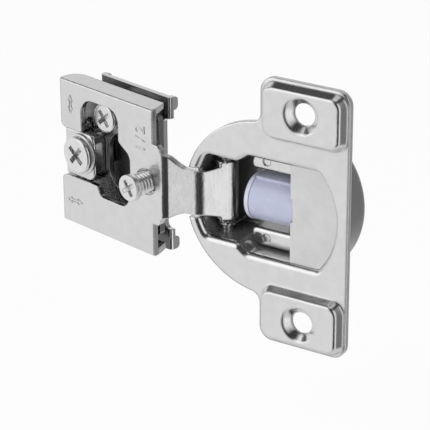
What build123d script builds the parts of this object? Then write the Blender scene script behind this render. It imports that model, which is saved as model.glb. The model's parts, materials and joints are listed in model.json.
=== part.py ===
from build123d import *
import os

os.makedirs("parts", exist_ok=True)

# Concealed cup hinge for a face frame, shown open.
# Origin: the fixing-screw hole, on the back of the base plate.
# X runs towards the door, Y runs back into the stile, Z is up.
# All sizes are in millimetres.

# Clearances
slide_gap = 0.1
run_gap = 0.05
thread_gap = 0.12

# Adjustment travel
height_travel = 1.8
depth_travel = 1.5

# Base plate
base_sheet = 1.2
base_width = 21.45
base_height = 34.4
base_mid_z = -0.7
base_corner = 1.0
stile_tab_depth = 1.2
stile_tab_height = 2.9
base_cut_width = 2.0
base_cut_height = 25.0
fix_hole_r = 2.15

# Height plate
carrier_sheet = 1.3
carrier_back = 3.2
carrier_left = -14.8
carrier_right = 10.9
carrier_height = 27.0
carrier_lug_x = 13.4
carrier_lug_height = 9.0
access_width = 9.4

# Height screw, an eccentric in the height plate
height_screw_x = -4.6
height_screw_z = carrier_height / 2 - 4.3
height_head_r = 3.2
height_head_front = 5.9
journal_r = 2.6
eccentric = 1.8
stud_r = 0.75
stud_play = 0.45

# Guide rivets of the height plate
rivet_x = 7.2
rivet_z = carrier_height / 2 - 5.5
rivet_r = 1.2
rivet_head_r = 2.3

# Saddle and its clamp screw
saddle_left = -14.9
saddle_right = -5.8
saddle_front = 7.8
saddle_half = 5.3
saddle_sheet = 1.2
clamp_x = -9.6
clamp_z = 0.5
clamp_head_r = 4.1
clamp_ring_r = 4.5
clamp_shank_r = 1.9
clamp_nut_side = 6.2

# Tilt pins between saddle and arm
tilt_x = -11.5
tilt_y = -5.9
tilt_r = 0.9

# Arm: outer plate, strap and rolled eye in one sheet
arm_sheet = 1.3
strap_sheet = 1.2
strap_root = 6.0
strap_half = 8.9
plate_front = 8.3
plate_left = -15.5
plate_right = 12.8
plate_half = 16.4
plate_flange = 4.7
plate_fold = 0.5
flange_corner = 3.2
notch_corner = 1.2
notch_half = 5.5
lug_width = 3.8

# Overlay screw
overlay_x = 10.7
overlay_head_r = 2.85
overlay_head_front = 13.3
overlay_crest_r = 2.15
overlay_root_r = 1.8
overlay_pitch = 0.8
overlay_neck_r = 1.2
overlay_disc_r = 1.9
overlay_hole_r = 2.9
overlay_nut_r = 4.1
overlay_nut_sheet = 1.1

# Pivot
pivot_x = -22.0
pivot_y = 6.2
pivot_r = 1.2
eye_r = 2.4
eye_half = 6.4

# Cup, measured in its own flange plane, which is turned from the wing
cup_turn = 12.58
cup_x = 47.61
cup_y = 0.22
cup_sheet = 1.1
cup_centre = -9.5
flange_r = 18.7
bar_left = -10.3
bar_right = 9.9
bar_half = 28.6
bar_corner = 3.0
ear_inner = 15.4
ear_rise = 1.9
ear_rim = 0.5
ear_taper = 28
ear_round = 0.5
drum_r = 17.45
drum_half = 11.7
drum_depth = 12.0
drum_round = 2.2
mouth_half = 10.6
mouth_arm_half = 8.9
mouth_step = -14.6
mouth_step_run = 2.4
mouth_corner = 1.5
mouth_lip = 1.3
flange_round = 0.4
cup_hole_pitch = 45.0
cup_hole_r = 2.33
cup_sink_r = 3.82
arm_notch_half = 5.5
arm_notch_floor = 2.0

# Cover plate over the damper
cover_front = 1.1
cover_sheet = 0.7
cover_left = -3.9

# Damper
damper_y = 6.4
damper_r = 4.3
damper_bore_r = 3.3
damper_left = -15.3
damper_right = 1.4
rod_r = 1.0
bracket_left = 3.8
bracket_sheet = 1.2
bracket_half = 6.9

# Guide rails beside the damper
rail_left = -15.2
rail_right = 2.4
rail_inner = 6.45
rail_outer = 10.35
rail_front = 4.5
seat_left = -3.0

cup_x_dir = Vector(1, 0, 0).rotate(Axis.Z, cup_turn)
cup_out_dir = Vector(0, -1, 0).rotate(Axis.Z, cup_turn)
cup_origin = Vector(cup_x, cup_y, 0)
top_plane = Plane(origin=cup_origin, x_dir=cup_x_dir, z_dir=(0, 0, 1))
face_plane = Plane(origin=cup_origin, x_dir=cup_x_dir, z_dir=cup_out_dir)
damper_axis = Axis(top_plane.from_local_coords(Vector(0, damper_y, 0)), cup_x_dir)
drum_inner_r = drum_r - cup_sheet
floor_y = drum_depth - cup_sheet
carrier_front = carrier_back + carrier_sheet
plate_back = plate_front - arm_sheet
cover_back = cover_front + cover_sheet

# Base plate with four tabs that grip the stile
with BuildPart() as base_plate:
    with BuildSketch(Plane.XZ):
        with Locations((0, base_mid_z)):
            RectangleRounded(base_width, base_height, base_corner)
    extrude(amount=base_sheet)
    tab_x = base_width / 2 - base_sheet / 2
    tab_z = base_height / 2 - stile_tab_height / 2
    with BuildSketch(Plane.XZ.offset(base_sheet)):
        with Locations((0, base_mid_z)):
            with GridLocations(2 * tab_x, 2 * tab_z, 2, 2):
                Rectangle(base_sheet, stile_tab_height)
    extrude(amount=-(base_sheet + stile_tab_depth))
    long_edges = base_plate.edges().filter_by(Axis.Z).group_by(Axis.Y)[0]
    fillet(long_edges, base_sheet * 0.8)
    tip_edges = base_plate.edges().filter_by(Axis.X).group_by(Axis.Y)[-1]
    fillet(tip_edges, 0.9)
    with BuildSketch(Plane.XZ):
        with Locations((base_width / 2, base_mid_z)):
            RectangleRounded(2 * base_cut_width, base_cut_height, 1.2)
        Circle(fix_hole_r)
        with Locations((height_screw_x + eccentric / 2, height_screw_z)):
            Rectangle(eccentric + 2 * stud_r + 2 * stud_play, 2 * stud_r + 2 * stud_play)
        with Locations((rivet_x, rivet_z), (rivet_x, -rivet_z)):
            Circle(rivet_r)
    extrude(amount=base_sheet, mode=Mode.SUBTRACT)
base_plate.part.label = "base_plate"
export_step(base_plate.part, "parts/base_plate.step")

# Rivets that guide the height plate, fixed in the base plate
with BuildPart() as guide_rivet_top:
    with BuildSketch(Plane.XZ):
        with Locations((rivet_x, rivet_z)):
            Circle(rivet_r)
    extrude(amount=carrier_front + slide_gap)
    with BuildSketch(Plane.XZ.offset(carrier_front + slide_gap)):
        with Locations((rivet_x, rivet_z)):
            Circle(rivet_head_r)
    extrude(amount=0.9)
    fillet(guide_rivet_top.edges().group_by(Axis.Y)[0], 0.5)
guide_rivet_top.part.label = "guide_rivet_top"
export_step(guide_rivet_top.part, "parts/guide_rivet_top.step")

with BuildPart() as guide_rivet_bottom:
    add(guide_rivet_top.part)
    mirror(about=Plane.XY, mode=Mode.REPLACE)
guide_rivet_bottom.part.label = "guide_rivet_bottom"
export_step(guide_rivet_bottom.part, "parts/guide_rivet_bottom.step")

# Height plate, slides up and down on the base plate
carrier_width = carrier_right - carrier_left
carrier_mid = (carrier_right + carrier_left) / 2
with BuildPart() as height_plate:
    with BuildSketch(Plane.XZ.offset(carrier_back)):
        with Locations((carrier_mid, 0)):
            RectangleRounded(carrier_width, carrier_height, 1.2)
        with Locations((carrier_lug_x / 2, 0)):
            RectangleRounded(carrier_lug_x, carrier_lug_height, 1.0)
    extrude(amount=carrier_sheet)
    rim_z = carrier_height / 2 - carrier_sheet / 2
    with BuildSketch(Plane.XZ.offset(base_sheet + slide_gap)):
        with Locations((carrier_mid, rim_z), (carrier_mid, -rim_z)):
            Rectangle(carrier_width - 4.0, carrier_sheet)
    extrude(amount=carrier_front - base_sheet - slide_gap)
    with BuildSketch(Plane.XZ.offset(carrier_back)):
        SlotOverall(access_width + 2 * height_travel, access_width, rotation=90)
        with Locations((height_screw_x, height_screw_z)):
            Circle(journal_r + run_gap)
        with Locations((clamp_x, clamp_z)):
            slot_width = 2 * clamp_shank_r + 4 * slide_gap
            SlotOverall(slot_width + 2 * depth_travel, slot_width)
        with Locations((rivet_x, rivet_z), (rivet_x, -rivet_z)):
            rivet_slot = 2 * rivet_r + 2 * slide_gap
            SlotOverall(rivet_slot + 2 * height_travel, rivet_slot, rotation=90)
        fork_left = overlay_x - depth_travel - overlay_neck_r - slide_gap
        with Locations(((fork_left + carrier_lug_x) / 2, 0)):
            Rectangle(carrier_lug_x - fork_left, 2 * overlay_neck_r + 4 * slide_gap)
    extrude(amount=carrier_sheet, mode=Mode.SUBTRACT)
height_plate.part.label = "height_plate"
export_step(height_plate.part, "parts/height_plate.step")

# Height screw: head, journal in the height plate and eccentric stud
with BuildPart() as height_screw:
    with BuildSketch(Plane.XZ.offset(carrier_front + slide_gap)):
        with Locations((height_screw_x, height_screw_z)):
            Circle(height_head_r)
    extrude(amount=height_head_front - carrier_front - slide_gap)
    fillet(height_screw.edges().group_by(Axis.Y)[0], 0.5)
    with BuildSketch(Plane.XZ.offset(carrier_back - slide_gap)):
        with Locations((height_screw_x, height_screw_z)):
            Circle(journal_r)
    extrude(amount=carrier_sheet + 2 * slide_gap)
    with BuildSketch(Plane.XZ.offset(carrier_back - slide_gap)):
        with Locations((height_screw_x, height_screw_z)):
            Circle(journal_r + 0.3)
    extrude(amount=-0.6)
    with BuildSketch(Plane.XZ.offset(0.3)):
        with Locations((height_screw_x + eccentric, height_screw_z)):
            Circle(stud_r)
    extrude(amount=carrier_back - 0.5)
    with BuildSketch(Plane.XZ.offset(height_head_front)):
        with Locations((height_screw_x, height_screw_z)):
            Rectangle(4.0, 0.95, rotation=40)
            Rectangle(4.0, 0.95, rotation=130)
    extrude(amount=-1.1, mode=Mode.SUBTRACT)
height_screw.part.label = "height_screw"
export_step(height_screw.part, "parts/height_screw.step")

# Saddle, slides towards the door on the height plate
saddle_width = saddle_right - saddle_left
saddle_mid = (saddle_right + saddle_left) / 2
with BuildPart() as saddle:
    with BuildSketch(Plane.XZ.offset(carrier_front + slide_gap)):
        with Locations((saddle_mid, 0)):
            Rectangle(saddle_width, 2 * saddle_half)
    extrude(amount=saddle_front - carrier_front - slide_gap)
    corner_edges = saddle.edges().filter_by(Axis.Y).group_by(Axis.X)[-1]
    fillet(corner_edges, 2.2)
    with BuildSketch(Plane.XZ.offset(carrier_front + slide_gap)):
        with Locations((saddle_mid - saddle_sheet, 0)):
            Rectangle(saddle_width, 2 * (saddle_half - saddle_sheet))
    extrude(amount=saddle_front - saddle_sheet - carrier_front - slide_gap, mode=Mode.SUBTRACT)
    front_edges = saddle.faces().sort_by(Axis.Y)[0].edges()
    fillet(front_edges, 0.5)
    with BuildSketch(Plane.XZ.offset(saddle_front)):
        with Locations((clamp_x, clamp_z)):
            Circle(clamp_shank_r + slide_gap)
    extrude(amount=-saddle_sheet, mode=Mode.SUBTRACT)
    with BuildSketch(Plane.XY.offset(-saddle_half)):
        with Locations((tilt_x, tilt_y)):
            Circle(tilt_r)
    extrude(amount=2 * saddle_half, mode=Mode.SUBTRACT)
saddle.part.label = "saddle"
export_step(saddle.part, "parts/saddle.step")

# Clamp screw of the saddle, its ring and its nut plate
with BuildPart() as clamp_screw:
    with BuildSketch(Plane.XZ.offset(saddle_front + 0.7)):
        with Locations((clamp_x, clamp_z)):
            Circle(clamp_head_r)
    extrude(amount=1.2)
    fillet(clamp_screw.edges().group_by(Axis.Y)[0], 0.6)
    with BuildSketch(Plane.XZ.offset(base_sheet + 0.2)):
        with Locations((clamp_x, clamp_z)):
            Circle(clamp_shank_r)
    extrude(amount=saddle_front + 0.7 - base_sheet - 0.2)
    with BuildSketch(Plane.XZ.offset(saddle_front + 1.9)):
        with Locations((clamp_x, clamp_z)):
            Rectangle(4.8, 1.1, rotation=50)
            Rectangle(4.8, 1.1, rotation=140)
    extrude(amount=-1.5, mode=Mode.SUBTRACT)
clamp_screw.part.label = "clamp_screw"
export_step(clamp_screw.part, "parts/clamp_screw.step")

with BuildPart() as clamp_ring:
    with BuildSketch(Plane.XZ.offset(saddle_front)):
        with Locations((clamp_x, clamp_z)):
            Circle(clamp_ring_r)
            Circle(clamp_shank_r + slide_gap, mode=Mode.SUBTRACT)
    extrude(amount=0.7)
    rim_edges = clamp_ring.edges().group_by(Axis.Y)[0].sort_by(SortBy.RADIUS)[-1]
    fillet(rim_edges, 0.3)
clamp_ring.part.label = "clamp_ring"
export_step(clamp_ring.part, "parts/clamp_ring.step")

with BuildPart() as clamp_nut:
    with BuildSketch(Plane.XZ.offset(base_sheet + 0.2)):
        with Locations((clamp_x, clamp_z)):
            RectangleRounded(clamp_nut_side, clamp_nut_side, 0.6)
            Circle(clamp_shank_r + thread_gap, mode=Mode.SUBTRACT)
    extrude(amount=carrier_back - slide_gap - base_sheet - 0.2)
clamp_nut.part.label = "clamp_nut"
export_step(clamp_nut.part, "parts/clamp_nut.step")

# Tilt pins, pressed in the saddle and running in the lugs of the arm
lug_outer = notch_half + arm_sheet
with BuildPart() as tilt_pin_top:
    with BuildSketch(Plane.XY.offset(saddle_half - saddle_sheet)):
        with Locations((tilt_x, tilt_y)):
            Circle(tilt_r)
    extrude(amount=lug_outer + slide_gap - saddle_half + saddle_sheet)
    with BuildSketch(Plane.XY.offset(lug_outer + slide_gap)):
        with Locations((tilt_x, tilt_y)):
            Circle(tilt_r + 0.15)
    extrude(amount=0.5)
    fillet(tilt_pin_top.edges().group_by(Axis.Z)[-1], 0.25)
tilt_pin_top.part.label = "tilt_pin_top"
export_step(tilt_pin_top.part, "parts/tilt_pin_top.step")

with BuildPart() as tilt_pin_bottom:
    add(tilt_pin_top.part)
    mirror(about=Plane.XY, mode=Mode.REPLACE)
tilt_pin_bottom.part.label = "tilt_pin_bottom"
export_step(tilt_pin_bottom.part, "parts/tilt_pin_bottom.step")

# Arm, one folded sheet: outer plate with two flanges, strap and rolled eye
strap_y = -(plate_front - strap_sheet / 2)
strap_path = [(strap_root, strap_y), (15.09, strap_y), (16.11, -6.86), (23.05, -4.64), (26.32, 0.51)]
strap_rounds = [1.4, 1.4, 2.6]
strap_side = [(14.2, strap_half), (14.9, 8.3), (15.3, 7.1), (16.5, 6.8), (18.4, 5.6),
              (20.0, 4.9), (24.0, 4.8), (25.7, 5.5), (25.75, eye_half), (30.0, eye_half)]
pivot = top_plane.from_local_coords(Vector(pivot_x, pivot_y, 0))
window = [(-17.0, -notch_half), (-4.4, -notch_half), (-3.4, -7.7), (4.3, -7.7), (7.0, -3.0),
          (7.0, 1.6), (5.4, 4.7), (2.5, 6.6), (2.5, 13.4), (-9.1, 13.4),
          (-9.1, notch_half), (-17.0, notch_half)]
window_rounds = [0, 0.5, 1.0, 2.0, 2.0, 1.2, 1.0, 1.0, 3.0, 3.5, 0.6, 0]
with BuildPart() as arm:
    plate_mid = (plate_left + plate_right) / 2
    plate_width = plate_right - plate_left
    with BuildSketch(Plane.XZ.offset(plate_front - plate_flange)):
        with Locations((plate_mid, 0)):
            Rectangle(plate_width, 2 * plate_half)
    extrude(amount=plate_flange)
    fold_edges = arm.edges().filter_by(Axis.X).group_by(Axis.Y)[0]
    fillet(fold_edges, plate_fold)
    with BuildSketch(Plane.XZ.offset(plate_front - plate_flange)):
        Rectangle(3 * plate_width, 2 * (plate_half - arm_sheet))
    extrude(amount=plate_flange - arm_sheet, mode=Mode.SUBTRACT)
    free_corners = arm.edges().filter_by(Axis.Z).group_by(Axis.X)[0].group_by(Axis.Y)[-1]
    fillet(free_corners, flange_corner)
    with BuildSketch(Plane.XY.offset(-plate_half)):
        with BuildLine():
            Polyline((plate_right + 1.0, -plate_back), (plate_right, -plate_back),
                     (plate_right - 1.3, -plate_front + plate_flange),
                     (plate_right + 1.0, -plate_front + plate_flange), close=True)
        make_face()
    extrude(amount=2 * plate_half, mode=Mode.SUBTRACT)
    with BuildSketch(Plane.XZ.offset(plate_back)):
        with BuildLine():
            FilletPolyline(window, radius=window_rounds, close=True)
        make_face()
        with Locations((overlay_x, 0)):
            Circle(overlay_hole_r)
    extrude(amount=arm_sheet, mode=Mode.SUBTRACT)
    left_edges = arm.edges().filter_by(Axis.Y).group_by(Axis.X)[0]
    fillet(left_edges.filter_by(lambda edge: abs(edge.center().Z) < plate_half / 2), notch_corner)
    with BuildSketch(Plane.XY.offset(-strap_half)):
        with BuildLine():
            FilletPolyline(strap_path, radius=strap_rounds)
        trace(line_width=strap_sheet)
    extrude(amount=2 * strap_half)
    with BuildSketch(Plane.XZ.offset(-plate_front)):
        with BuildLine():
            Polyline([(14.2, 2 * strap_half)] + strap_side + [(30.0, 2 * strap_half)], close=True)
        make_face()
        mirror(about=Plane.XZ)
    extrude(amount=2 * plate_front, mode=Mode.SUBTRACT)
    with BuildSketch(Plane.XZ.offset(plate_back)):
        with Locations((overlay_x, 0)):
            Circle(overlay_hole_r)
    extrude(amount=arm_sheet, mode=Mode.SUBTRACT)
    with BuildSketch(Plane.XY.offset(-eye_half)):
        with Locations((pivot.X, pivot.Y)):
            Circle(eye_r)
    extrude(amount=2 * eye_half)
    with BuildSketch(Plane.XY.offset(-eye_half)):
        with Locations((pivot.X, pivot.Y)):
            Circle(pivot_r + run_gap)
    extrude(amount=2 * eye_half, mode=Mode.SUBTRACT)
    lug_back = carrier_front + 0.25
    with BuildSketch(Plane.XZ.offset(lug_back)):
        lug_z = notch_half + arm_sheet / 2
        with Locations((tilt_x, lug_z), (tilt_x, -lug_z)):
            Rectangle(lug_width, arm_sheet)
    extrude(amount=plate_back - lug_back)
    with BuildSketch(Plane.XY.offset(-lug_outer)):
        with Locations((tilt_x, tilt_y)):
            Circle(tilt_r + run_gap)
    extrude(amount=2 * lug_outer, mode=Mode.SUBTRACT)
arm.part.label = "arm"
export_step(arm.part, "parts/arm.step")

# Overlay nut, pressed to the back of the outer plate
with BuildPart() as overlay_nut:
    with BuildSketch(Plane.XZ.offset(plate_back - overlay_nut_sheet)):
        with Locations((overlay_x, 0)):
            Circle(overlay_nut_r)
            Circle(overlay_crest_r + thread_gap, mode=Mode.SUBTRACT)
    extrude(amount=overlay_nut_sheet)
overlay_nut.part.label = "overlay_nut"
export_step(overlay_nut.part, "parts/overlay_nut.step")

# Overlay screw: cross head, neck, thread and captive end
overlay_axis = Axis((overlay_x, 0, 0), (0, 1, 0))
thread_front = -10.3
thread_turns = 6
crest_x = overlay_x + overlay_crest_r
root_x = overlay_x + overlay_root_r
thread_line = []
for turn in range(thread_turns):
    thread_line.append((root_x, thread_front + overlay_pitch * turn))
    thread_line.append((crest_x, thread_front + overlay_pitch * (turn + 0.4)))
    thread_line.append((crest_x, thread_front + overlay_pitch * (turn + 0.6)))
thread_end = thread_front + overlay_pitch * thread_turns
disc_front = -(carrier_back - slide_gap)
disc_back = -(base_sheet + 0.3)
with BuildPart() as overlay_screw:
    with BuildSketch(Plane.XY):
        with BuildLine():
            Polyline([(overlay_x, -overlay_head_front),
                      (overlay_x + overlay_head_r - 0.6, -overlay_head_front),
                      (overlay_x + overlay_head_r, -overlay_head_front + 0.5),
                      (overlay_x + overlay_head_r, -overlay_head_front + 1.5),
                      (root_x, -overlay_head_front + 1.9)]
                     + thread_line
                     + [(root_x, thread_end),
                        (overlay_x + overlay_neck_r, thread_end),
                        (overlay_x + overlay_neck_r, disc_front),
                        (overlay_x + overlay_disc_r, disc_front),
                        (overlay_x + overlay_disc_r, disc_back),
                        (overlay_x, disc_back)], close=True)
        make_face()
    revolve(axis=overlay_axis)
    with BuildSketch(Plane.XZ.offset(overlay_head_front)):
        with Locations((overlay_x, 0)):
            Rectangle(3.8, 0.9, rotation=35)
            Rectangle(3.8, 0.9, rotation=125)
    extrude(amount=-1.2, mode=Mode.SUBTRACT)
overlay_screw.part.label = "overlay_screw"
export_step(overlay_screw.part, "parts/overlay_screw.step")

# Cup: flange with two raised ears and a drawn drum, one pressed sheet
bar_mid = (bar_left + bar_right) / 2
bar_width = bar_right - bar_left
ear_inset = 1.6
ear_mid = (bar_half + ear_inner) / 2
ear_height = bar_half - ear_inner
with BuildSketch() as mouth:
    with Locations((cup_centre, 0)):
        Circle(drum_inner_r)
        Rectangle(2 * drum_r, 2 * mouth_half, mode=Mode.INTERSECT)
    with BuildLine():
        Polyline((mouth_step - mouth_step_run / 2, mouth_arm_half),
                 (mouth_step + mouth_step_run / 2, mouth_half),
                 (mouth_step + mouth_step_run / 2, drum_r),
                 (cup_centre - 2 * drum_r, drum_r),
                 (cup_centre - 2 * drum_r, mouth_arm_half), close=True)
    make_face(mode=Mode.SUBTRACT)
    with BuildLine():
        Polyline((mouth_step - mouth_step_run / 2, -mouth_arm_half),
                 (mouth_step + mouth_step_run / 2, -mouth_half),
                 (mouth_step + mouth_step_run / 2, -drum_r),
                 (cup_centre - 2 * drum_r, -drum_r),
                 (cup_centre - 2 * drum_r, -mouth_arm_half), close=True)
    make_face(mode=Mode.SUBTRACT)
    fillet(mouth.vertices(), mouth_corner)


def on_front(edge):
    depth = face_plane.to_local_coords(edge.center()).Z
    return abs(depth) < 0.01


def in_mouth(edge):
    place = face_plane.to_local_coords(edge.center())
    return abs(place.Y) < mouth_half + 0.1 and abs(place.X - cup_centre) < drum_r


with BuildPart() as cup:
    with BuildSketch(face_plane) as flange_outline:
        with Locations((cup_centre, 0)):
            Circle(flange_r)
        with Locations((bar_mid, 0)):
            RectangleRounded(bar_width, 2 * bar_half, bar_corner)
        waist = flange_outline.vertices().filter_by(lambda v: abs(abs(v.Y) - flange_r) < 0.3)
        fillet(waist, 2.2)
    extrude(amount=-cup_sheet)
    with BuildSketch(face_plane):
        with Locations((bar_mid, ear_mid), (bar_mid, -ear_mid)):
            RectangleRounded(bar_width - 2 * ear_rim, ear_height - 2 * ear_rim, bar_corner)
    extrude(amount=ear_rise, taper=ear_taper)
    ear_tops = cup.faces().group_by(Axis(cup_origin, cup_out_dir))[-1]
    fillet(ear_tops.edges(), ear_round)
    with BuildSketch(face_plane.offset(-cup_sheet)):
        with Locations((bar_mid, ear_mid), (bar_mid, -ear_mid)):
            RectangleRounded(bar_width - 2 * ear_inset, ear_height - 2 * ear_inset, bar_corner - 1.0)
    extrude(amount=ear_rise, taper=ear_taper, mode=Mode.SUBTRACT)
    with BuildSketch(face_plane):
        with Locations((0, cup_hole_pitch / 2), (0, -cup_hole_pitch / 2)):
            Circle(cup_sink_r + 1.0)
    extrude(amount=ear_rise - cup_sheet)
    with BuildSketch(face_plane.offset(-cup_sheet / 2)):
        add(mouth.sketch)
        offset(amount=cup_sheet)
    extrude(amount=-(drum_depth - cup_sheet / 2))
    floor_face = cup.faces().sort_by(Axis(cup_origin, cup_out_dir))[0]
    fillet(floor_face.edges(), drum_round)
    with BuildSketch(face_plane):
        add(mouth.sketch)
    extrude(amount=-floor_y, mode=Mode.SUBTRACT)
    lip_edges = cup.edges().filter_by(on_front).filter_by(in_mouth)
    fillet(lip_edges, mouth_lip)
    with BuildSketch(face_plane.offset(1.0)):
        with Locations((cup_centre - flange_r, 0)):
            Rectangle(2 * (flange_r - 14.0), 2 * arm_notch_half)
    extrude(amount=-(1.0 + arm_notch_floor), mode=Mode.SUBTRACT)
    with BuildSketch(face_plane.offset(ear_rise)):
        with Locations((0, cup_hole_pitch / 2), (0, -cup_hole_pitch / 2)):
            Circle(cup_hole_r)
    extrude(amount=-(ear_rise + cup_sheet), mode=Mode.SUBTRACT)
    with BuildSketch(face_plane.offset(ear_rise)):
        with Locations((0, cup_hole_pitch / 2), (0, -cup_hole_pitch / 2)):
            Circle(cup_sink_r)
    extrude(amount=-(cup_sink_r - cup_hole_r), taper=45, mode=Mode.SUBTRACT)
    with BuildSketch(top_plane.offset(-drum_half)):
        with Locations((pivot_x, pivot_y)):
            Circle(pivot_r)
    extrude(amount=2 * drum_half, mode=Mode.SUBTRACT)
cup.part.label = "cup"
export_step(cup.part, "parts/cup.step")

# Pivot pin, pressed in the walls of the drum
pivot_half = mouth_arm_half + cup_sheet / 2
with BuildPart() as pivot_pin:
    with BuildSketch(top_plane.offset(-pivot_half)):
        with Locations((pivot_x, pivot_y)):
            Circle(pivot_r)
    extrude(amount=2 * pivot_half)
pivot_pin.part.label = "pivot_pin"
export_step(pivot_pin.part, "parts/pivot_pin.step")

# Torsion springs round the pivot pin, one leg on the floor of the drum
wire_r = 0.25
coil_r = 1.6
coil_start = 6.75
coil_pitch = 0.52
coil_turns = 2
coil_end = coil_start + coil_pitch * coil_turns
leg_front = 3.2
leg_x = pivot_x + coil_r
coil_centre = top_plane.from_local_coords(Vector(pivot_x, pivot_y, coil_start))
with BuildPart() as closing_spring_top:
    with BuildLine(Plane(origin=coil_centre, x_dir=cup_x_dir, z_dir=(0, 0, 1))) as coil:
        Helix(coil_pitch, coil_pitch * coil_turns, coil_r)
    with BuildSketch(coil.line ^ 0):
        Circle(wire_r)
    sweep()
    with BuildSketch(face_plane.offset(-pivot_y)):
        with Locations((leg_x, coil_start)):
            Circle(wire_r)
    extrude(amount=leg_front)
    with BuildSketch(face_plane.offset(-pivot_y)):
        with Locations((leg_x, coil_end)):
            Circle(wire_r)
    extrude(amount=-(floor_y - pivot_y))
closing_spring_top.part.label = "closing_spring_top"
export_step(closing_spring_top.part, "parts/closing_spring_top.step")

with BuildPart() as closing_spring_bottom:
    add(closing_spring_top.part)
    mirror(about=Plane.XY, mode=Mode.REPLACE)
closing_spring_bottom.part.label = "closing_spring_bottom"
export_step(closing_spring_bottom.part, "parts/closing_spring_bottom.step")

# Cover plate, D shaped, held in the mouth of the cup
with BuildPart() as cover_plate:
    with BuildSketch(face_plane.offset(-cover_front)):
        add(mouth.sketch)
        offset(amount=-run_gap)
        with Locations((cover_left - drum_r, 0)):
            Rectangle(2 * drum_r, 2 * drum_r, mode=Mode.SUBTRACT)
        with Locations((cover_left, 0.8)):
            RectangleRounded(1.0, 5.2, 0.4, mode=Mode.SUBTRACT)
    extrude(amount=-cover_sheet)
cover_plate.part.label = "cover_plate"
export_step(cover_plate.part, "parts/cover_plate.step")

# Guide rails above and below the damper, each held by a stud
rail_mid_z = (rail_inner + rail_outer) / 2
rail_width = rail_outer - rail_inner
rail_depth = floor_y - rail_front
stud_x = -11.5
rail_stud_r = 0.9
stud_sink = 0.25
nose_inner = 1.2
nose_outer = 2.6
rail_edge = 0.9
with BuildPart() as guide_rail_top:
    with BuildSketch(face_plane.offset(-rail_front)):
        with BuildLine():
            FilletPolyline((rail_left, rail_inner), (rail_right, rail_inner),
                           (rail_right, rail_outer), (rail_left, rail_outer),
                           radius=[nose_inner, 0, 0, nose_outer], close=True)
        make_face()
    extrude(amount=-rail_depth)
    front_face = guide_rail_top.faces().sort_by(Axis(cup_origin, cup_out_dir))[-1]
    fillet(front_face.edges(), rail_edge)
    with BuildSketch(face_plane.offset(-cover_back)):
        with Locations(((seat_left + rail_right) / 2, rail_mid_z)):
            Rectangle(rail_right - seat_left, rail_width)
    extrude(amount=-(rail_front + rail_edge - cover_back))
    with BuildSketch(face_plane.offset(-rail_front)):
        with Locations((stud_x, rail_mid_z)):
            Circle(rail_stud_r)
    extrude(amount=-rail_depth, mode=Mode.SUBTRACT)
guide_rail_top.part.label = "guide_rail_top"
export_step(guide_rail_top.part, "parts/guide_rail_top.step")

with BuildPart() as guide_rail_bottom:
    add(guide_rail_top.part)
    mirror(about=Plane.XY, mode=Mode.REPLACE)
guide_rail_bottom.part.label = "guide_rail_bottom"
export_step(guide_rail_bottom.part, "parts/guide_rail_bottom.step")

with BuildPart() as rail_stud_top:
    with BuildSketch(face_plane.offset(-rail_front - stud_sink)):
        with Locations((stud_x, rail_mid_z)):
            Circle(rail_stud_r)
    extrude(amount=-(rail_depth - stud_sink))
rail_stud_top.part.label = "rail_stud_top"
export_step(rail_stud_top.part, "parts/rail_stud_top.step")

with BuildPart() as rail_stud_bottom:
    add(rail_stud_top.part)
    mirror(about=Plane.XY, mode=Mode.REPLACE)
rail_stud_bottom.part.label = "rail_stud_bottom"
export_step(rail_stud_bottom.part, "parts/rail_stud_bottom.step")

# Damper cylinder, slides on a fixed rod as the door closes
collar_width = 1.3
body_left = damper_left + collar_width
end_wall = 1.0
groove_depth = 0.15
groove_width = 0.4
groove_x = body_left + 4.6
with BuildPart() as damper_body:
    with BuildSketch(top_plane):
        with BuildLine():
            Polyline((body_left, damper_y), (body_left, damper_y - damper_r + groove_depth),
                     (body_left + groove_width, damper_y - damper_r + groove_depth),
                     (body_left + groove_width, damper_y - damper_r),
                     (groove_x, damper_y - damper_r),
                     (groove_x + groove_depth, damper_y - damper_r + groove_depth),
                     (groove_x + groove_width, damper_y - damper_r + groove_depth),
                     (groove_x + groove_width + groove_depth, damper_y - damper_r),
                     (damper_right, damper_y - damper_r),
                     (damper_right, damper_y - damper_bore_r),
                     (body_left + end_wall, damper_y - damper_bore_r),
                     (body_left + end_wall, damper_y), close=True)
        make_face()
    revolve(axis=damper_axis)
damper_body.part.label = "damper_body"
export_step(damper_body.part, "parts/damper_body.step")

with BuildPart() as damper_collar:
    with BuildSketch(top_plane) as collar_half:
        with Locations((damper_left + collar_width / 2, damper_y - damper_r / 2)):
            Rectangle(collar_width, damper_r)
        rim_corner = collar_half.vertices().sort_by(Axis.Y)[:2].sort_by(Axis.X)[0]
        fillet(rim_corner, 0.8)
    revolve(axis=damper_axis)
damper_collar.part.label = "damper_collar"
export_step(damper_collar.part, "parts/damper_collar.step")

seal_width = 1.4
with BuildPart() as damper_seal:
    with BuildSketch(top_plane):
        seal_mid = damper_y - (damper_bore_r + rod_r + run_gap) / 2
        with Locations((damper_right - seal_width / 2, seal_mid)):
            Rectangle(seal_width, damper_bore_r - rod_r - run_gap)
    revolve(axis=damper_axis)
damper_seal.part.label = "damper_seal"
export_step(damper_seal.part, "parts/damper_seal.step")

piston_left = -6.4
piston_width = 2.2
with BuildPart() as damper_piston:
    with BuildSketch(top_plane):
        piston_mid = damper_y - (damper_bore_r - run_gap) / 2 - rod_r / 2
        with Locations((piston_left + piston_width / 2, piston_mid)):
            Rectangle(piston_width, damper_bore_r - run_gap - rod_r)
    revolve(axis=damper_axis)
damper_piston.part.label = "damper_piston"
export_step(damper_piston.part, "parts/damper_piston.step")

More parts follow.
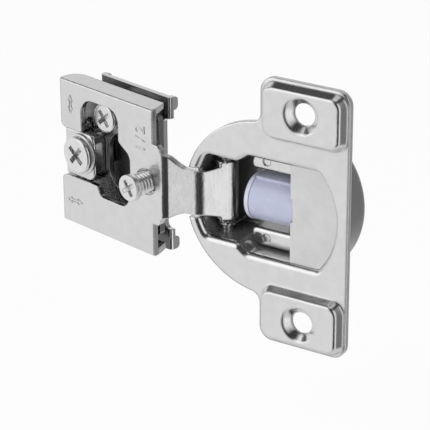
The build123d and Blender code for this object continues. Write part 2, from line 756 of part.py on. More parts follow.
with BuildPart() as damper_rod:
    with BuildSketch(top_plane):
        rod_right = bracket_left + bracket_sheet
        with Locations(((piston_left + rod_right) / 2, damper_y - rod_r / 2)):
            Rectangle(rod_right - piston_left, rod_r)
    revolve(axis=damper_axis)
damper_rod.part.label = "damper_rod"
export_step(damper_rod.part, "parts/damper_rod.step")

with BuildPart() as damper_bracket:
    with BuildSketch(face_plane.offset(-cover_back)):
        with Locations((bracket_left + bracket_sheet / 2, 0)):
            Rectangle(bracket_sheet, 2 * bracket_half)
    extrude(amount=-(floor_y - cover_back))
    with BuildSketch(top_plane):
        with Locations(((piston_left + rod_right) / 2, damper_y - rod_r / 2)):
            Rectangle(rod_right - piston_left, rod_r)
    revolve(axis=damper_axis, mode=Mode.SUBTRACT)
damper_bracket.part.label = "damper_bracket"
export_step(damper_bracket.part, "parts/damper_bracket.step")

# Return spring inside the damper
return_turns = 3
return_pitch = 1.3
return_r = 2.4
return_wire = 0.35
return_left = body_left + end_wall + return_wire + 0.1
return_origin = top_plane.from_local_coords(Vector(return_left, damper_y, 0))
with BuildPart() as return_spring:
    with BuildLine() as return_coil:
        Helix(return_pitch, return_pitch * return_turns, return_r,
              center=return_origin, direction=cup_x_dir)
    with BuildSketch(return_coil.line ^ 0):
        Circle(return_wire)
    sweep()
return_spring.part.label = "return_spring"
export_step(return_spring.part, "parts/return_spring.step")
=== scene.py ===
import json
import math

import bpy
from mathutils import Matrix, Vector


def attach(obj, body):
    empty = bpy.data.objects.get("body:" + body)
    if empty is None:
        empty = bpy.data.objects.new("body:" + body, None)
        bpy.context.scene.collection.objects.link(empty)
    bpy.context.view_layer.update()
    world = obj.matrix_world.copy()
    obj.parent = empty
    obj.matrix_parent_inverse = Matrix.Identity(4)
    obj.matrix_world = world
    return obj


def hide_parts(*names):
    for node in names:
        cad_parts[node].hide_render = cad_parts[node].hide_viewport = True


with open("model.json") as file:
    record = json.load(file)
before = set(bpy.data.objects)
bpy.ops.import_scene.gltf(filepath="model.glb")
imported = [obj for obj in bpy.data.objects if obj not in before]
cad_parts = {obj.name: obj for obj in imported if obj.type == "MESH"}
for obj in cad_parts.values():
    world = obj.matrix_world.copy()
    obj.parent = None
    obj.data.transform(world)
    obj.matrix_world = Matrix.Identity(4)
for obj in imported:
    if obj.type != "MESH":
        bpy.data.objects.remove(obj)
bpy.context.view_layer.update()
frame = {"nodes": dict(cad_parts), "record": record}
nodes = frame["nodes"]

# The flange of the cup stands turned from the wing by this angle
CUP_TURN = math.radians(12.58)
CUP_ORIGIN = Vector((0.04761, 0.00022, 0.0))
# Places in the cup: its own axes, with the first along the damper and the second into the door
CUP_PLACE = Matrix.Translation(CUP_ORIGIN) @ Matrix.Rotation(CUP_TURN, 4, "Z")
INTO_DOOR = CUP_PLACE.to_3x3() @ Vector((0, 1, 0))
FLANGE_AT = INTO_DOOR.dot(CUP_ORIGIN) * 1000
# Depths behind the flange, in millimetres, across which painted shade comes in on the cup's walls, and its
# grey
CUP_SHADE_FROM = 1.0
CUP_SHADE_TO = 2.0
CUP_SHADE_GREY = (0.36, 0.36, 0.36)
# Base plate, in millimetres: its sheet, the depths under its inner face across which painted shade darkens
# it, and that shade's grey
BASE_SHEET = 1.2
BASE_SHADE_FROM = 0.12
BASE_SHADE_TO = 0.04
BASE_SHADE_GREY = (0.14, 0.14, 0.14)
# Front face of the arm's plate along Y, in metres
PLATE_FACE = -0.0083
SMOOTH_ANGLE = math.radians(35)
# A face looks along an axis when this share of its normal does
FACING = 0.9

# Plated steel. A noise texture counts between these two values, as most of it lies about a half
NOISE_LOW = 0.3
NOISE_HIGH = 0.7
EDGE_SAMPLES = 8
NICKEL = (0.80, 0.80, 0.80)
ZINC = (0.88, 0.88, 0.88)
WIRE = (0.62, 0.62, 0.62)
# Grey of nickel with painted shade, for pieces that lie in shade deep in the hinge
PAINTED_SHADE_GREY = (0.36, 0.36, 0.36)
# Scales of the noise: patches of gloss, clouds of tint, waves of the sheet and specks
PATCHES = 90
CLOUDS = 420
WAVES = 150
SPECKS = 2600
GLOSS_LEAST = 0.8
GLOSS_MOST = 1.3
TINT_DARK = 0.94
# Depth of the waves and of the specks, in metres
WAVE_DEPTH = 0.0003
SPECK_DEPTH = 0.00004
# How metallic the part with painted shade is; the rest of it takes plain light
SHADE_METALLIC = 0.72

# Moulded pieces: scales of the noise, its spread and the fine texture
MOULD_CLOUDS = 260
MOULD_PATCHES = 700
MOULD_TEXTURE = 3500
MOULD_GLOSS_LEAST = 0.85
MOULD_GLOSS_MOST = 1.2
MOULD_DARK = 0.06
MOULD_STRENGTH = 0.05
MOULD_DEPTH = 0.00002
MOULD_EDGE = 0.15


def new_material(name):
    """A new material with its nodes and its shader."""
    mat = bpy.data.materials.new(name)
    mat.use_nodes = True
    return mat, mat.node_tree, mat.node_tree.nodes["Principled BSDF"]


def noise(tree, place, scale, detail=2.0, stretch=(1, 1, 1)):
    """A noise texture on the object's own coordinates, drawn out along some of them."""
    spread = tree.nodes.new("ShaderNodeMapping")
    spread.inputs["Scale"].default_value = stretch
    texture = tree.nodes.new("ShaderNodeTexNoise")
    texture.inputs["Scale"].default_value = scale
    texture.inputs["Detail"].default_value = detail
    tree.links.new(place.outputs["Object"], spread.inputs["Vector"])
    tree.links.new(spread.outputs["Vector"], texture.inputs["Vector"])
    return texture


def spread_value(tree, texture, low, high, target):
    """Sends a texture to a socket as a value between two limits."""
    spread = tree.nodes.new("ShaderNodeMapRange")
    spread.inputs["From Min"].default_value = NOISE_LOW
    spread.inputs["From Max"].default_value = NOISE_HIGH
    spread.inputs["To Min"].default_value = low
    spread.inputs["To Max"].default_value = high
    tree.links.new(texture.outputs["Fac"], spread.inputs["Value"])
    tree.links.new(spread.outputs["Result"], target)


def relief(tree, texture, strength, distance, under):
    """A bump of the surface, laid over the shape that another node gives."""
    bump = tree.nodes.new("ShaderNodeBump")
    bump.inputs["Strength"].default_value = strength
    bump.inputs["Distance"].default_value = distance
    tree.links.new(texture.outputs["Fac"], bump.inputs["Height"])
    tree.links.new(under.outputs["Normal"], bump.inputs["Normal"])
    return bump


def soft_edges(tree, radius):
    """The small round that tumbling and plating leave on every edge."""
    edges = tree.nodes.new("ShaderNodeBevel")
    edges.samples = EDGE_SAMPLES
    edges.inputs["Radius"].default_value = radius / 1000
    return edges


def across(tree, place, way, start, stop):
    """From 0 to 1 between two planes that face a given way, at distances in millimetres."""
    along = tree.nodes.new("ShaderNodeVectorMath")
    along.operation = "DOT_PRODUCT"
    along.inputs[1].default_value = way
    tree.links.new(place.outputs["Object"], along.inputs[0])
    share = tree.nodes.new("ShaderNodeMapRange")
    share.inputs["From Min"].default_value = start / 1000
    share.inputs["From Max"].default_value = stop / 1000
    tree.links.new(along.outputs["Value"], share.inputs["Value"])
    return share


def plated_steel(name, colour, rough, waviness, grain, edge, stretch=(1, 1, 1), shade_part=None):
    """Plate over pressed steel: slow waves of the sheet and fine specks, drawn out by a stretch.

    The part of a piece with painted shade, which is less metallic too, is given by the way it lies,
    two planes and the shade's colour.
    """
    mat, tree, shader = new_material(name)
    shader.inputs["Metallic"].default_value = 1.0
    place = tree.nodes.new("ShaderNodeTexCoord")
    patches = noise(tree, place, PATCHES)
    spread_value(tree, patches, rough * GLOSS_LEAST, rough * GLOSS_MOST, shader.inputs["Roughness"])
    tint = tree.nodes.new("ShaderNodeMixRGB")
    tint.inputs["Color1"].default_value = (*[value * TINT_DARK for value in colour], 1)
    tint.inputs["Color2"].default_value = (*colour, 1)
    spread_value(tree, noise(tree, place, CLOUDS, 3), 0.0, 1.0, tint.inputs["Fac"])
    if shade_part is None:
        tree.links.new(tint.outputs["Color"], shader.inputs["Base Color"])
    else:
        way, start, stop, shade_colour = shade_part
        # Painted shade: the shade's grey is mixed into the plate's colour
        drawn = tree.nodes.new("ShaderNodeMixRGB")
        drawn.inputs["Color2"].default_value = (*shade_colour, 1)
        tree.links.new(tint.outputs["Color"], drawn.inputs["Color1"])
        shade_share = across(tree, place, way, start, stop).outputs["Result"]
        tree.links.new(shade_share, drawn.inputs["Fac"])
        tree.links.new(drawn.outputs["Color"], shader.inputs["Base Color"])
        # The part with painted shade is less metallic too
        satin = tree.nodes.new("ShaderNodeMapRange")
        satin.inputs["To Min"].default_value = 1.0
        satin.inputs["To Max"].default_value = SHADE_METALLIC
        tree.links.new(shade_share, satin.inputs["Value"])
        tree.links.new(satin.outputs["Result"], shader.inputs["Metallic"])
    sheet = noise(tree, place, WAVES, 2, stretch)
    waves = relief(tree, sheet, waviness, WAVE_DEPTH, soft_edges(tree, edge))
    specks = relief(tree, noise(tree, place, SPECKS, 3, stretch), grain, SPECK_DEPTH, waves)
    tree.links.new(specks.outputs["Normal"], shader.inputs["Normal"])
    return mat


def moulded(name, colour, rough):
    """Moulded plastic or rubber: slightly uneven gloss and colour, and a fine mould texture."""
    mat, tree, shader = new_material(name)
    place = tree.nodes.new("ShaderNodeTexCoord")
    clouds = noise(tree, place, MOULD_CLOUDS, 3)
    tint = tree.nodes.new("ShaderNodeMixRGB")
    tint.inputs["Color1"].default_value = (*[value * (1 - MOULD_DARK) for value in colour], 1)
    tint.inputs["Color2"].default_value = (*colour, 1)
    spread_value(tree, clouds, 0.0, 1.0, tint.inputs["Fac"])
    tree.links.new(tint.outputs["Color"], shader.inputs["Base Color"])
    patches = noise(tree, place, MOULD_PATCHES)
    spread_value(tree, patches, rough * MOULD_GLOSS_LEAST, rough * MOULD_GLOSS_MOST,
                 shader.inputs["Roughness"])
    grain = noise(tree, place, MOULD_TEXTURE, 3)
    texture = relief(tree, grain, MOULD_STRENGTH, MOULD_DEPTH, soft_edges(tree, MOULD_EDGE))
    tree.links.new(texture.outputs["Normal"], shader.inputs["Normal"])
    return mat


# Edges are in millimetres
finish = {
    "nickel": plated_steel("bright_nickel", NICKEL, rough=0.15, waviness=0.5, grain=0.35, edge=0.30),
    "satin": plated_steel("satin_nickel", NICKEL, rough=0.27, waviness=0.2, grain=0.30, edge=0.10),
    "screw": plated_steel("bright_zinc", ZINC, rough=0.27, waviness=0.2, grain=0.35, edge=0.15),
    "spring": plated_steel("drawn_wire", WIRE, rough=0.25, waviness=0.1, grain=0.30, edge=0.05),
    "lavender": moulded("lavender_acetal", (0.58, 0.61, 0.79), rough=0.24),
    "lavender_light": moulded("pale_lavender_acetal", (0.74, 0.76, 0.90), rough=0.26),
    "plastic": moulded("natural_acetal", (0.75, 0.75, 0.72), rough=0.45),
    "rubber": moulded("black_rubber", (0.03, 0.03, 0.03), rough=0.6),
}
# Painted shade on the cup's walls behind the flange, darker and less metallic
cup_painted_shade = (INTO_DOOR, FLANGE_AT + CUP_SHADE_FROM, FLANGE_AT + CUP_SHADE_TO, CUP_SHADE_GREY)
# Painted shade on the base plate's inner face, where it lies in the gap behind the top flange
base_painted_shade = ((0, -1, 0), BASE_SHEET - BASE_SHADE_FROM, BASE_SHEET - BASE_SHADE_TO, BASE_SHADE_GREY)
cup_nickel = plated_steel("cup_nickel", NICKEL, rough=0.16, waviness=0.5, grain=0.35, edge=0.85,
                          shade_part=cup_painted_shade)
base_nickel = plated_steel("base_nickel", NICKEL, rough=0.18, waviness=0.5, grain=0.35, edge=0.25,
                           shade_part=base_painted_shade)
arm_nickel = plated_steel("arm_nickel", NICKEL, rough=0.18, waviness=0.5, grain=0.9, edge=0.45)
# Nickel with painted shade, darker all over, for pieces deep in the hinge
painted_shade_nickel = plated_steel("painted_shade_nickel", PAINTED_SHADE_GREY, rough=0.22, waviness=0.8, grain=0.6,
                             edge=0.30, stretch=(1, 1, 0.2))
# Pieces with a metal of their own, two of them with painted shade; the others have their slot's
own_metal = {
    "cup": cup_nickel,
    "arm": arm_nickel,
    "base_plate": base_nickel,
    "height_plate": painted_shade_nickel,
    "clamp_nut": painted_shade_nickel,
}

for piece in frame["record"]["subparts"]:
    node = nodes[piece["node"]]
    node.data.materials.clear()
    node.data.materials.append(own_metal.get(piece["node"], finish[piece["material_slot"]]))

# Damper, in millimetres on the cup's axes
DAMPER_DEPTH = 6.3
BARREL_R = 4.85
BARREL_LEFT = -14.1
BARREL_RIGHT = 1.4
BARREL_EDGE = 0.25
COLLAR_LEFT = -15.3
COLLAR_R = 4.95
COLLAR_EDGE = 0.7
BARREL_FACES = 96
# Dish in the left end of each piece: the width of its rim and its depth
BARREL_DISH = (0.6, 0.2)
COLLAR_DISH = (1.2, 0.3)
# In square metres; a flat end is larger than this, and a face of its bevel smaller
END_AREA = 1e-6
# Flat rib along the barrel, turned round it from the front
RIB_ANGLE = math.radians(86)
RIB_WIDTH = 3.5
RIB_HEIGHT = 0.35
RIB_SUNK = 0.3
RIB_EDGE = 0.12


def deselect():
    """Leaves editing, and leaves nothing selected."""
    if bpy.context.object and bpy.context.object.mode != "OBJECT":
        bpy.ops.object.mode_set(mode="OBJECT")
    bpy.ops.object.select_all(action="DESELECT")


def select_in_edit(piece, wanted):
    """Opens a piece for editing with only the faces that the test accepts selected."""
    bpy.ops.object.mode_set(mode="EDIT")
    bpy.ops.mesh.select_mode(type="FACE")
    bpy.ops.mesh.select_all(action="DESELECT")
    bpy.ops.object.mode_set(mode="OBJECT")
    for face in piece.data.polygons:
        face.select = wanted(face)
    bpy.ops.object.mode_set(mode="EDIT")


def barrel(name, left, right, radius, edge, dish):
    """A round piece along the damper's line, with a bevel and a shallow dish at its left end."""
    rim, sink = dish
    deselect()
    middle = ((left + right) / 2000, DAMPER_DEPTH / 1000, 0)
    bpy.ops.mesh.primitive_cylinder_add(vertices=BARREL_FACES, radius=radius / 1000,
                                        depth=(right - left) / 1000,
                                        location=middle, rotation=(0, math.pi / 2, 0))
    piece = bpy.context.object
    piece.name = name
    bpy.ops.object.transform_apply(location=True, rotation=True, scale=True)
    select_in_edit(piece, lambda face: face.normal.x < -FACING)
    bpy.ops.mesh.bevel(offset=edge / 1000, segments=4, affect="EDGES")
    bpy.ops.object.mode_set(mode="OBJECT")
    select_in_edit(piece, lambda face: face.normal.x < -FACING and face.area > END_AREA)
    bpy.ops.mesh.inset(thickness=rim / 1000, depth=0)
    bpy.ops.mesh.extrude_region_move(TRANSFORM_OT_translate={"value": (sink / 1000, 0, 0)})
    bpy.ops.mesh.select_all(action="SELECT")
    bpy.ops.mesh.normals_make_consistent(inside=False)
    bpy.ops.object.mode_set(mode="OBJECT")
    return piece


def ledge():
    """The flat rib that runs along the barrel."""
    deselect()
    bpy.ops.mesh.primitive_cube_add(size=1)
    rib = bpy.context.object
    length = BARREL_RIGHT - BARREL_LEFT - 2 * BARREL_EDGE
    turn_round = Matrix.Rotation(-RIB_ANGLE, 4, "X")
    out_front = Matrix.Translation((0, -(BARREL_R + RIB_HEIGHT / 2 - RIB_SUNK) / 1000, 0))
    size = Matrix.Diagonal((length / 1000, (RIB_HEIGHT + 2 * RIB_SUNK) / 1000, RIB_WIDTH / 1000, 1))
    along = Matrix.Translation(((BARREL_LEFT + BARREL_RIGHT) / 2000, DAMPER_DEPTH / 1000, 0))
    rib.data.transform(along @ turn_round @ out_front @ size)
    rounding = rib.modifiers.new("eased_edges", "BEVEL")
    rounding.width = RIB_EDGE / 1000
    rounding.segments = 3
    bpy.ops.object.modifier_apply(modifier=rounding.name)
    return rib


def join_shapes(piece, other, way):
    """Adds a second shape to a piece or cuts it out of the piece, and drops the second."""
    deselect()
    bpy.context.view_layer.objects.active = piece
    cut = piece.modifiers.new("joined", "BOOLEAN")
    cut.operation = way
    cut.solver = "EXACT"
    cut.object = other
    bpy.ops.object.modifier_apply(modifier=cut.name)
    bpy.data.objects.remove(other)


def in_damper(piece, node, slot):
    """Puts a finished piece in the cup in place of its plain solid."""
    deselect()
    piece.select_set(True)
    bpy.context.view_layer.objects.active = piece
    bpy.ops.object.shade_smooth_by_angle(angle=SMOOTH_ANGLE)
    piece.data.transform(CUP_PLACE)
    piece.data.materials.clear()
    piece.data.materials.append(finish[slot])
    piece.visible_glossy = False
    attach(piece, "damper")
    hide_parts(node)


housing = barrel("damper_housing", BARREL_LEFT, BARREL_RIGHT, BARREL_R, BARREL_EDGE, BARREL_DISH)
join_shapes(housing, ledge(), "UNION")
in_damper(housing, "damper_body", "lavender")
end_cap = barrel("damper_end_cap", COLLAR_LEFT, BARREL_LEFT, COLLAR_R, COLLAR_EDGE, COLLAR_DISH)
in_damper(end_cap, "damper_collar", "lavender_light")

# Overlay screw, in millimetres from the fixing hole; it stands out of the plate along -Y
SCREW_X = 10.7
HEAD_FRONT = -13.3
HEAD_BACK = -11.9
HEAD_R = 2.85
HEAD_EDGE = 0.22
THREAD_CORE_R = 1.95
THREAD_CREST_R = 2.35
THREAD_PITCH = 0.8
THREAD_FRONT = -11.6
THREAD_TURNS = 7
THREAD_STEPS = 40
# The thread's ridge: how deep its foot lies in the core, half the foot's width and where it starts
RIDGE_SUNK = 0.1
RIDGE_HALF = 0.38
RIDGE_START = 0.4
CORE_BACK = -5.5
NECK_R = 1.2
DISC_R = 1.9
DISC_FRONT = -3.1
DISC_BACK = -1.5
CROSS_LENGTH = 4.9
CROSS_WIDTH = 1.25
CROSS_DEPTH = 1.1
CROSS_TURN = math.radians(35)
# The cutter of the cross narrows to this share at its deep end
CROSS_TAPER = 0.55
SCREW_FACES = 72
# How far each round of the screw runs into the next
RUN_IN = 0.2


def disc_along(radius, front, back):
    """A round blank on the overlay screw's axis."""
    deselect()
    bpy.ops.mesh.primitive_cylinder_add(vertices=SCREW_FACES, radius=radius / 1000,
                                        depth=(back - front) / 1000,
                                        location=(SCREW_X / 1000, (front + back) / 2000, 0),
                                        rotation=(math.pi / 2, 0, 0))
    bpy.ops.object.transform_apply(location=True, rotation=True, scale=True)
    return bpy.context.object


def ease(piece, width, segments):
    """Rounds the sharp edges of a piece."""
    rounding = piece.modifiers.new("eased_edges", "BEVEL")
    rounding.width = width / 1000
    rounding.segments = segments
    rounding.limit_method = "ANGLE"
    bpy.context.view_layer.objects.active = piece
    bpy.ops.object.modifier_apply(modifier=rounding.name)


def cross_recess(head):
    """Sinks two crossed slots with sloping floors into the head."""
    for quarter in (0, 1):
        deselect()
        bpy.ops.mesh.primitive_cube_add(size=1)
        slot = bpy.context.object
        size = Matrix.Diagonal((CROSS_LENGTH / 1000, 2 * CROSS_DEPTH / 1000, CROSS_WIDTH / 1000, 1))
        place = Matrix.Translation((SCREW_X / 1000, HEAD_FRONT / 1000, 0))
        turned = Matrix.Rotation(-CROSS_TURN - quarter * math.pi / 2, 4, "Y")
        slot.data.transform(place @ turned @ size)
        select_in_edit(slot, lambda face: face.normal.y > FACING)
        bpy.ops.transform.resize(value=(CROSS_TAPER, 1, CROSS_TAPER),
                                 center_override=(SCREW_X / 1000, HEAD_FRONT / 1000, 0))
        bpy.ops.object.mode_set(mode="OBJECT")
        join_shapes(head, slot, "DIFFERENCE")


def thread():
    """A true helix of three-sided section round the core."""
    deselect()
    bpy.ops.mesh.primitive_circle_add(vertices=3, radius=0.001, fill_type="NOTHING")
    ridge = bpy.context.object
    root = THREAD_CORE_R - RIDGE_SUNK
    profile = [(root, -RIDGE_HALF), (THREAD_CREST_R, 0.0), (root, RIDGE_HALF)]
    for vertex, (out_from_axis, along) in zip(ridge.data.vertices, profile):
        vertex.co = (out_from_axis / 1000, (along + THREAD_FRONT + RIDGE_START) / 1000, 0)
    coil = ridge.modifiers.new("coil", "SCREW")
    coil.axis = "Y"
    coil.screw_offset = THREAD_PITCH / 1000
    coil.iterations = THREAD_TURNS
    coil.steps = THREAD_STEPS
    coil.render_steps = THREAD_STEPS
    bpy.ops.object.modifier_apply(modifier=coil.name)
    ridge.data.transform(Matrix.Translation((SCREW_X / 1000, 0, 0)))
    bpy.ops.object.mode_set(mode="EDIT")
    bpy.ops.mesh.select_mode(type="EDGE")
    bpy.ops.mesh.select_all(action="DESELECT")
    bpy.ops.mesh.select_non_manifold()
    bpy.ops.mesh.fill_holes(sides=4)
    bpy.ops.mesh.select_all(action="SELECT")
    bpy.ops.mesh.normals_make_consistent(inside=False)
    bpy.ops.object.mode_set(mode="OBJECT")
    return ridge


def overlay_screw():
    """Cross head, threaded core, neck and the captive disc at its end."""
    head = disc_along(HEAD_R, HEAD_FRONT, HEAD_BACK)
    ease(head, HEAD_EDGE, 3)
    cross_recess(head)
    core = disc_along(THREAD_CORE_R, HEAD_BACK - RUN_IN, CORE_BACK)
    neck = disc_along(NECK_R, CORE_BACK - RUN_IN, DISC_FRONT + RUN_IN)
    captive = disc_along(DISC_R, DISC_FRONT, DISC_BACK)
    for piece in (core, neck, captive):
        join_shapes(head, piece, "UNION")
    ridge = thread()
    deselect()
    ridge.select_set(True)
    head.select_set(True)
    bpy.context.view_layer.objects.active = head
    bpy.ops.object.join()
    head.name = "overlay_adjuster"
    bpy.ops.object.shade_smooth_by_angle(angle=SMOOTH_ANGLE)
    head.data.materials.clear()
    head.data.materials.append(finish["screw"])
    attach(head, "overlay")
    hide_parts("overlay_screw")


overlay_screw()

# Marks stamped on the outer plate, in millimetres from the fixing hole: two arrows and the overlay
MARK_HEIGHT = 0.10
MARK_LINE = 0.20
ARROW_HEAD = 1.5
ARROW_WING = 0.85
ARROW_SHAFT = 0.38
HEIGHT_MARK = (-12.4, 11.1)
HEIGHT_MARK_LENGTH = 4.3
DEPTH_MARK = (-11.8, -11.0)
DEPTH_MARK_LENGTH = 4.9
OVERLAY_MARK = (9.4, 9.2)
OVERLAY_MARK_SIZE = 3.9
OVERLAY_MARK_SPACING = 1.3
# The worn edge of the arrows, and how far the number's outline is drawn in
WORN_EDGE = 0.03
THINNED = 0.03


def on_plate(mark, name):
    """Names a finished mark, gives it the plate's metal and lets it tilt with the arm."""
    mark.name = name
    mark.data.materials.clear()
    mark.data.materials.append(finish["nickel"])
    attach(mark, "arm")


def double_arrow(name, centre, length, upright):
    """A raised outline of an arrow with two heads: a ten-sided face, inset, hollowed and raised."""
    half = length / 2
    tip_side = [(half - ARROW_HEAD, ARROW_SHAFT), (half - ARROW_HEAD, ARROW_WING), (half, 0.0)]
    tip_side += [(half - ARROW_HEAD, -ARROW_WING), (half - ARROW_HEAD, -ARROW_SHAFT)]
    outline = tip_side + [(-x, -y) for x, y in tip_side]
    if upright:
        outline = [(-y, x) for x, y in outline]
    deselect()
    bpy.ops.mesh.primitive_circle_add(vertices=10, radius=half / 1000, fill_type="NGON")
    mark = bpy.context.object
    for vertex, (x, z) in zip(mark.data.vertices, outline):
        vertex.co = ((centre[0] + x) / 1000, PLATE_FACE, (centre[1] + z) / 1000)
    bpy.ops.object.mode_set(mode="EDIT")
    bpy.ops.mesh.select_all(action="SELECT")
    bpy.ops.mesh.inset(thickness=MARK_LINE / 1000, depth=0)
    bpy.ops.mesh.delete(type="FACE")
    bpy.ops.mesh.select_all(action="SELECT")
    bpy.ops.mesh.extrude_region_move(TRANSFORM_OT_translate={"value": (0, -MARK_HEIGHT / 1000, 0)})
    bpy.ops.mesh.select_all(action="SELECT")
    bpy.ops.mesh.normals_make_consistent(inside=False)
    bpy.ops.object.mode_set(mode="OBJECT")
    rounding = mark.modifiers.new("worn_edge", "BEVEL")
    rounding.width = WORN_EDGE / 1000
    rounding.segments = 1
    bpy.ops.object.modifier_apply(modifier=rounding.name)
    on_plate(mark, name)


def overlay_mark():
    """The overlay as a plain number that reads upwards along the plate."""
    deselect()
    bpy.ops.object.text_add()
    mark = bpy.context.object
    mark.data.body = "1/2"
    mark.data.size = OVERLAY_MARK_SIZE / 1000
    mark.data.space_character = OVERLAY_MARK_SPACING
    mark.data.align_x = "CENTER"
    mark.data.align_y = "CENTER"
    mark.data.offset = -THINNED / 1000
    mark.data.extrude = MARK_HEIGHT / 1000
    mark.data.resolution_u = 3
    bpy.ops.object.convert(target="MESH")
    upwards = Matrix(((0, -1, 0), (0, 0, -1), (1, 0, 0))).to_4x4()
    place = Matrix.Translation((OVERLAY_MARK[0] / 1000, PLATE_FACE, OVERLAY_MARK[1] / 1000))
    mark.data.transform(place @ upwards)
    on_plate(mark, "overlay_mark")


double_arrow("height_mark", HEIGHT_MARK, HEIGHT_MARK_LENGTH, True)
double_arrow("depth_mark", DEPTH_MARK, DEPTH_MARK_LENGTH, False)
overlay_mark()

# Camera, fitted to the photograph on the cup's axes: its focal length in the photograph's pixels, the
# photograph's side in pixels, its angles, and its place in millimetres to the right, up and away
FOCAL = 2135.27
PHOTO_SIDE = 430.0
SENSOR = 36.0
AZIMUTH = math.radians(32.674)
ELEVATION = math.radians(23.520)
ROLL = math.radians(-0.2645)
TO_RIGHT = -17.715
UPWARDS = 1.0539
AWAY = 423.39
level = math.cos(ELEVATION)
back = Vector((math.sin(AZIMUTH) * level, -math.cos(AZIMUTH) * level, math.sin(ELEVATION)))
right = Vector((math.cos(AZIMUTH), math.sin(AZIMUTH), 0))
up = back.cross(right)
right_rolled = right * math.cos(ROLL) + up * math.sin(ROLL)
up_rolled = -right * math.sin(ROLL) + up * math.cos(ROLL)
stand = (right_rolled * TO_RIGHT + up_rolled * UPWARDS + back * AWAY) / 1000
turn = CUP_PLACE.to_3x3()
axes = Matrix((turn @ right_rolled, turn @ up_rolled, turn @ back)).transposed()
camera_data = bpy.data.cameras.new("camera")
camera_data.sensor_width = SENSOR
camera_data.lens = FOCAL * SENSOR / PHOTO_SIDE
camera_data.clip_start = 0.01
camera_data.clip_end = 50.0
camera = bpy.data.objects.new("camera", camera_data)
bpy.context.collection.objects.link(camera)
camera.matrix_world = Matrix.Translation(CUP_PLACE @ stand) @ axes.to_4x4()
bpy.context.scene.camera = camera

# Floor, in metres: a pale plane that glows for the camera, and that mirrored rays pass through
FLOOR_SIZE = 6
FLOOR_LEVEL = -0.075
FLOOR_COLOUR = (0.93, 0.93, 0.93, 1)
FLOOR_ROUGHNESS = 0.8
# Share of plain white in what the camera sees of it
FLOOR_GLOW = 0.93
deselect()
bpy.ops.mesh.primitive_plane_add(size=FLOOR_SIZE, location=(0, 0, 0))
floor = bpy.context.object
floor.name = "floor"
for vertex in floor.data.vertices:
    vertex.co.z = FLOOR_LEVEL
floor_mat, tree, shader = new_material("pale_floor")
shader.inputs["Base Color"].default_value = FLOOR_COLOUR
shader.inputs["Roughness"].default_value = FLOOR_ROUGHNESS
paths = tree.nodes.new("ShaderNodeLightPath")
glow = tree.nodes.new("ShaderNodeEmission")
glow.inputs["Color"].default_value = (1, 1, 1, 1)
blend = tree.nodes.new("ShaderNodeMixShader")
amount = tree.nodes.new("ShaderNodeMath")
amount.operation = "MULTIPLY"
amount.inputs[1].default_value = FLOOR_GLOW
tree.links.new(paths.outputs["Is Camera Ray"], amount.inputs[0])
tree.links.new(amount.outputs[0], blend.inputs["Fac"])
tree.links.new(shader.outputs["BSDF"], blend.inputs[1])
tree.links.new(glow.outputs["Emission"], blend.inputs[2])
clear = tree.nodes.new("ShaderNodeBsdfTransparent")
mirrored = tree.nodes.new("ShaderNodeMixShader")
tree.links.new(paths.outputs["Is Glossy Ray"], mirrored.inputs["Fac"])
tree.links.new(blend.outputs["Shader"], mirrored.inputs[1])
tree.links.new(clear.outputs["BSDF"], mirrored.inputs[2])
tree.links.new(mirrored.outputs["Shader"], tree.nodes["Material Output"].inputs["Surface"])
floor.data.materials.append(floor_mat)

# Room: white to the camera; to the metal, pale walls with dark screens, told by the angle in degrees
# round the object from the front towards the right, with a pale floor, a dark ring above and a pale zenith
WALLS = [(-180, 0.45), (-165, 0.60), (-140, 0.70), (-120, 0.75), (-60, 0.82), (-16, 0.86), (-5, 0.85)]
WALLS += [(0, 0.08), (12, 0.03), (20, 0.10), (26, 0.03), (50, 0.05), (60, 0.55), (67, 1.0), (86, 1.0)]
WALLS += [(94, 0.35), (101, 0.16), (125, 0.28), (160, 0.30), (180, 0.45)]
# What covers the walls at each height: the angle above the eye line, its shade and how much it covers
HEIGHTS = [(-90, 0.70, 1.0), (-50, 0.70, 1.0), (-38, 0.70, 0.0), (0, 0.70, 0.0), (2, 0.05, 0.0)]
HEIGHTS += [(44, 0.05, 0.0), (54, 0.05, 1.0), (68, 0.05, 1.0), (76, 0.65, 1.0), (90, 0.65, 1.0)]
# Screens hung in the room: the way to each, the angles at which it is full and gone, and its shade
SCREENS = [((-0.45, -0.78, 0.43), 14, 36, 1.25), ((-0.72, -0.39, 0.57), 10, 19, 0.10)]


def grey_ramp(tree, stops):
    """A ramp of greys through stops that are given as a place from 0 to 1 and a value."""
    ramp_node = tree.nodes.new("ShaderNodeValToRGB")
    ramp = ramp_node.color_ramp
    for element, (position, value) in zip((ramp.elements[0], ramp.elements[1]), (stops[0], stops[-1])):
        element.position = position
        element.color = (value, value, value, 1)
    for position, value in stops[1:-1]:
        ramp.elements.new(position).color = (value, value, value, 1)
    return ramp_node


world = bpy.data.worlds.new("studio")
bpy.context.scene.world = world
world.use_nodes = True
tree = world.node_tree
tree.nodes.clear()
out = tree.nodes.new("ShaderNodeOutputWorld")
place = tree.nodes.new("ShaderNodeTexCoord")
parts = tree.nodes.new("ShaderNodeSeparateXYZ")
tree.links.new(place.outputs["Generated"], parts.inputs["Vector"])
front = tree.nodes.new("ShaderNodeMath")
front.operation = "MULTIPLY"
front.inputs[1].default_value = -1
tree.links.new(parts.outputs["Y"], front.inputs[0])
around = tree.nodes.new("ShaderNodeMath")
around.operation = "ARCTAN2"
tree.links.new(parts.outputs["X"], around.inputs[0])
tree.links.new(front.outputs["Value"], around.inputs[1])
share = tree.nodes.new("ShaderNodeMapRange")
share.inputs["From Min"].default_value = -math.pi
share.inputs["From Max"].default_value = math.pi
tree.links.new(around.outputs["Value"], share.inputs["Value"])
walls = grey_ramp(tree, [((angle + 180) / 360, value) for angle, value in WALLS])
tree.links.new(share.outputs["Result"], walls.inputs["Fac"])
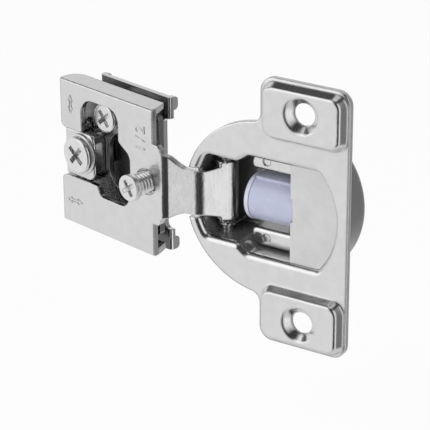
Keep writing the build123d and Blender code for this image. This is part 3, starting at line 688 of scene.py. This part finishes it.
height = tree.nodes.new("ShaderNodeMapRange")
height.inputs["From Min"].default_value = -1
height.inputs["From Max"].default_value = 1
tree.links.new(parts.outputs["Z"], height.inputs["Value"])
height_stops = [((math.sin(math.radians(angle)) + 1) / 2, shade, cover) for angle, shade, cover in HEIGHTS]
shade = grey_ramp(tree, [(position, value) for position, value, cover in height_stops])
cover = grey_ramp(tree, [(position, value) for position, shade_value, value in height_stops])
tree.links.new(height.outputs["Result"], shade.inputs["Fac"])
tree.links.new(height.outputs["Result"], cover.inputs["Fac"])
room_colour = tree.nodes.new("ShaderNodeMixRGB")
tree.links.new(cover.outputs["Color"], room_colour.inputs["Fac"])
tree.links.new(walls.outputs["Color"], room_colour.inputs["Color1"])
tree.links.new(shade.outputs["Color"], room_colour.inputs["Color2"])
for way, full, gone, shade_value in SCREENS:
    towards = tree.nodes.new("ShaderNodeVectorMath")
    towards.operation = "DOT_PRODUCT"
    towards.inputs[1].default_value = Vector(way).normalized()
    tree.links.new(place.outputs["Generated"], towards.inputs[0])
    patch = tree.nodes.new("ShaderNodeMapRange")
    patch.inputs["From Min"].default_value = math.cos(math.radians(gone))
    patch.inputs["From Max"].default_value = math.cos(math.radians(full))
    tree.links.new(towards.outputs["Value"], patch.inputs["Value"])
    screened = tree.nodes.new("ShaderNodeMixRGB")
    screened.inputs["Color2"].default_value = (shade_value, shade_value, shade_value, 1)
    tree.links.new(patch.outputs["Result"], screened.inputs["Fac"])
    tree.links.new(room_colour.outputs["Color"], screened.inputs["Color1"])
    room_colour = screened
room = tree.nodes.new("ShaderNodeBackground")
room.inputs["Strength"].default_value = 1.0
tree.links.new(room_colour.outputs["Color"], room.inputs["Color"])
white = tree.nodes.new("ShaderNodeBackground")
white.inputs["Color"].default_value = (1, 1, 1, 1)
white.inputs["Strength"].default_value = 1.0
paths = tree.nodes.new("ShaderNodeLightPath")
blend = tree.nodes.new("ShaderNodeMixShader")
tree.links.new(paths.outputs["Is Camera Ray"], blend.inputs["Fac"])
tree.links.new(room.outputs["Background"], blend.inputs[1])
tree.links.new(white.outputs["Background"], blend.inputs[2])
tree.links.new(blend.outputs["Shader"], out.inputs["Surface"])

# Softboxes: the place of each, its width and height, all in metres, and its power in watts
SOFTBOXES = [
    ("key_softbox", (-0.22, -0.55, 0.56), 0.45, 0.35, 1.9),
    ("front_softbox", (-0.05, -0.62, 0.02), 0.40, 0.30, 0.55),
    ("side_softbox", (0.60, -0.25, 0.20), 0.25, 0.50, 0.3),
    ("top_softbox", (0.05, 0.25, 0.65), 0.50, 0.30, 0.8),
]
AIMED_AT = Vector((0.02, 0.0, 0.0))


def softbox(name, spot, width, height, power):
    """A soft lamp that lights the object and doesn't show in its metal."""
    data = bpy.data.lights.new(name, "AREA")
    data.shape = "RECTANGLE"
    data.size = width
    data.size_y = height
    data.energy = power
    lamp = bpy.data.objects.new(name, data)
    bpy.context.collection.objects.link(lamp)
    lamp.location = spot
    aim = AIMED_AT - Vector(spot)
    lamp.rotation_euler = aim.to_track_quat("-Z", "Y").to_euler()
    lamp.visible_glossy = False


for box in SOFTBOXES:
    softbox(*box)

bpy.context.scene.view_settings.view_transform = "Standard"
